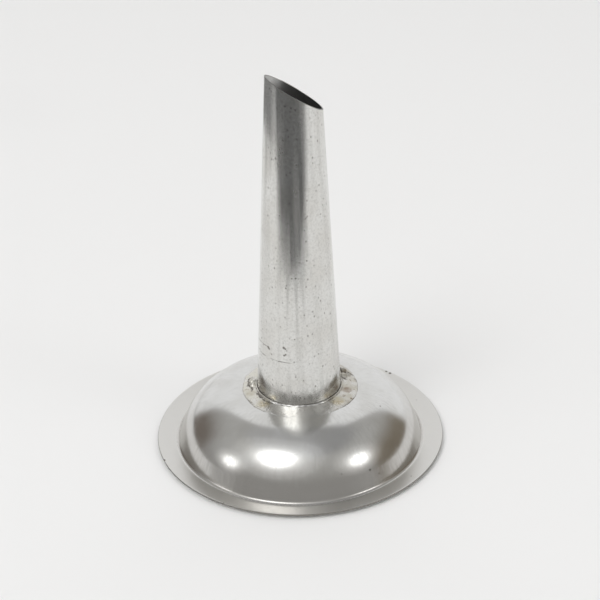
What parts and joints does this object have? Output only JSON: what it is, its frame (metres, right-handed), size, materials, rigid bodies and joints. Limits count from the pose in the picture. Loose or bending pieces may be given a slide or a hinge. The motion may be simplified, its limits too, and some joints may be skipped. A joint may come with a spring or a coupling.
{
  "type": "sausage stuffing tube",
  "caption": "Tinned sheet-steel sausage funnel: a tapered tube with a slanted mouth, soldered to a hollow spun dome whose flat rim is clamped in a meat grinder's ring nut.",
  "frame": {"origin": "centre of the rim, level with its underside", "axes": "+Z along the tube towards its mouth, +X towards the low side of the slanted mouth"},
  "size_m": [0.082, 0.082, 0.1064],
  "materials": {
    "polished_tinplate": "spun and polished tinplate, with fine tool rings and streaks",
    "satin_tinplate": "satin tinplate with small dark pits",
    "solder": "dull tin solder with yellow and brown flux stains"
  },
  "bodies": {
    "root": {"domed_flange": "polished_tinplate", "nozzle_tube": "satin_tinplate", "foot_solder": "solder", "seam_solder": "solder"}
  },
  "joints": []
}
